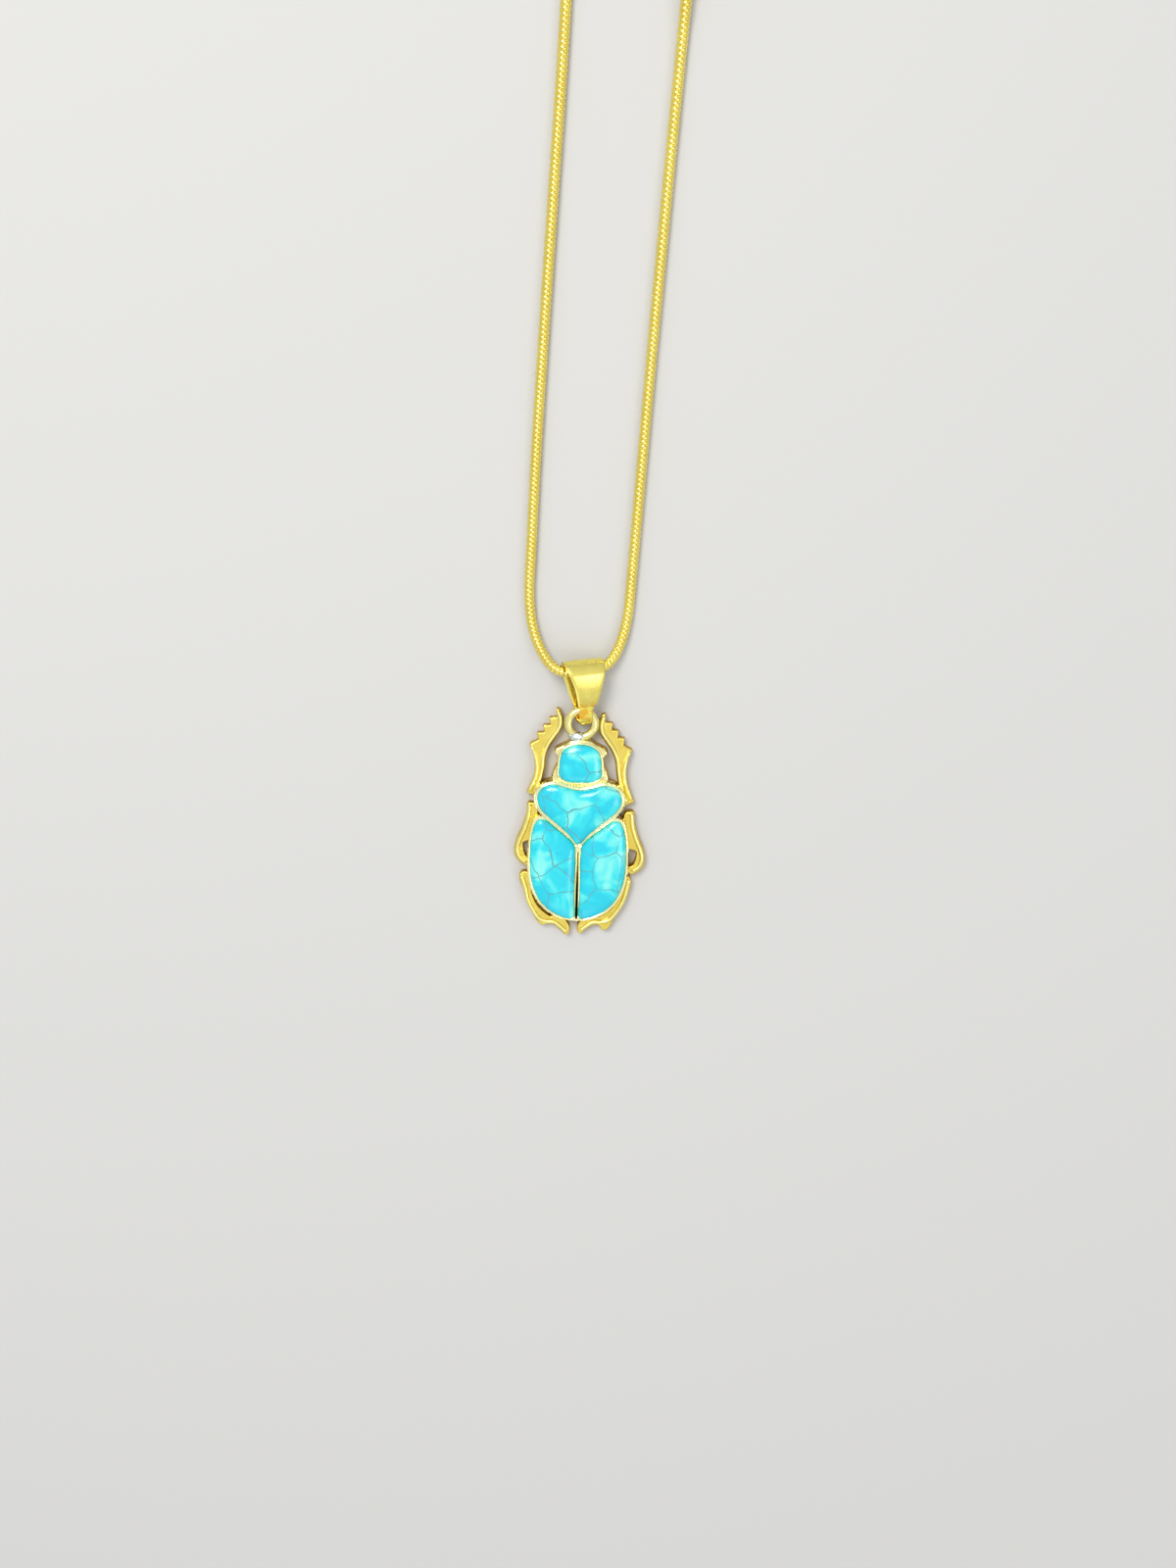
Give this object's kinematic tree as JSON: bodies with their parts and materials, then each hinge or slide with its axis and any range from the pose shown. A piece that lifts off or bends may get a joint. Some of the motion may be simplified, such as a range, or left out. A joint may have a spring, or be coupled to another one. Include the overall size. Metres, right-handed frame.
{
  "type": "scarab pendant necklace",
  "caption": "Gold scarab pendant with turquoise inlaid head, heart-shaped thorax and wing cases, toothed legs and a folded bail on a round snake chain, lying flat.",
  "frame": {"origin": "middle of the scarab's flat back, between the hind end and the front of the wing cases", "axes": "+Y from the tail to the head, the ring and the bail; +Z out of the stones, away from the flat back"},
  "size_m": [0.0246, 0.1665, 0.0055],
  "materials": {
    "cast_gold": "cast metal with a light yellow gold plating, polished on the walls, grainy in the grooves",
    "turquoise": "polished bright blue turquoise with thin grey-brown veins",
    "ring_gold": "polished pale gold wire",
    "bail_gold": "satin gold strap, deeper orange at the soldered foot",
    "chain_gold": "bright gold snake links",
    "clasp_gold": "polished gold"
  },
  "bodies": {
    "root": {"scarab_frame": "cast_gold", "head_stone": "turquoise", "pronotum_stone": "turquoise", "left_wing_stone": "turquoise", "right_wing_stone": "turquoise", "jump_ring": "ring_gold", "bail": "bail_gold", "chain_run": "chain_gold", "chain_coil": "chain_gold", "chain_tail": "chain_gold", "clasp_near_half": "clasp_gold", "clasp_far_half": "clasp_gold"}
  },
  "joints": []
}
